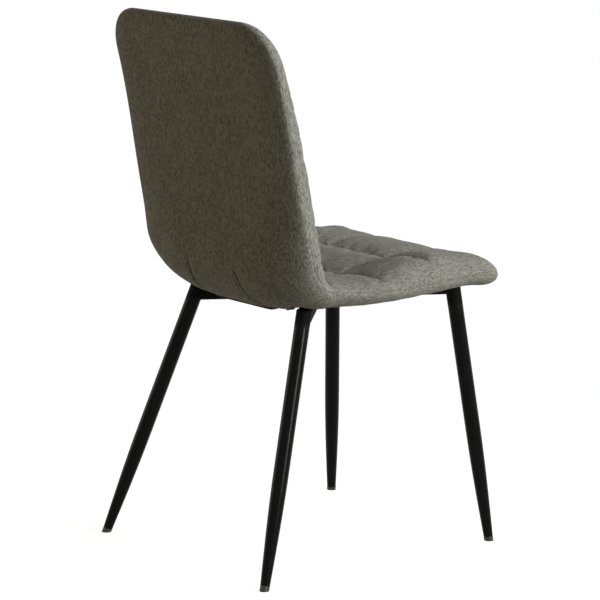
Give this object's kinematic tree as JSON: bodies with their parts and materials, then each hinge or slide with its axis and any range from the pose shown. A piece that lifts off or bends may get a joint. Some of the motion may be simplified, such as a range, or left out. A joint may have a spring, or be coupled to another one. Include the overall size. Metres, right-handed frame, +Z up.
{
  "type": "dining chair",
  "caption": "Armless dining chair: a quilted, padded L-shaped shell on four splayed, tapered black tube legs.",
  "frame": {"origin": "on the floor, under the middle of the chair's outline", "axes": "+Z up, +Y to the chair's front, +X to the sitter's right"},
  "size_m": [0.4578, 0.5088, 0.8855],
  "materials": {
    "fabric": "matt heathered weave",
    "foam": "open-cell foam, inside the cover",
    "plywood": "raw birch plywood, inside the cover",
    "dust_cloth": "thin black non-woven cloth",
    "black_steel": "semi-gloss powder coat",
    "glide_plastic": "satin",
    "zinc_steel": "bright zinc plate",
    "black_oxide": "black oxide"
  },
  "bodies": {
    "root": {"ply_panel": "plywood", "seat_foam": "foam", "back_foam": "foam", "bend_foam": "foam", "rim_foam": "foam", "front_cover": "fabric", "rear_cover": "fabric", "side_band": "fabric", "dust_cover": "dust_cloth", "staples": "zinc_steel", "t_nuts": "zinc_steel", "long_arm": "black_steel", "rear_arm": "black_steel", "front_arm": "black_steel", "bolts": "black_oxide", "lock_washers": "zinc_steel", "washers": "zinc_steel", "plate_rear_left": "black_steel", "leg_rear_left": "black_steel", "glide_rear_left": "glide_plastic", "plate_rear_right": "black_steel", "leg_rear_right": "black_steel", "glide_rear_right": "glide_plastic", "plate_front_left": "black_steel", "leg_front_left": "black_steel", "glide_front_left": "glide_plastic", "plate_front_right": "black_steel", "leg_front_right": "black_steel", "glide_front_right": "glide_plastic"}
  },
  "joints": []
}
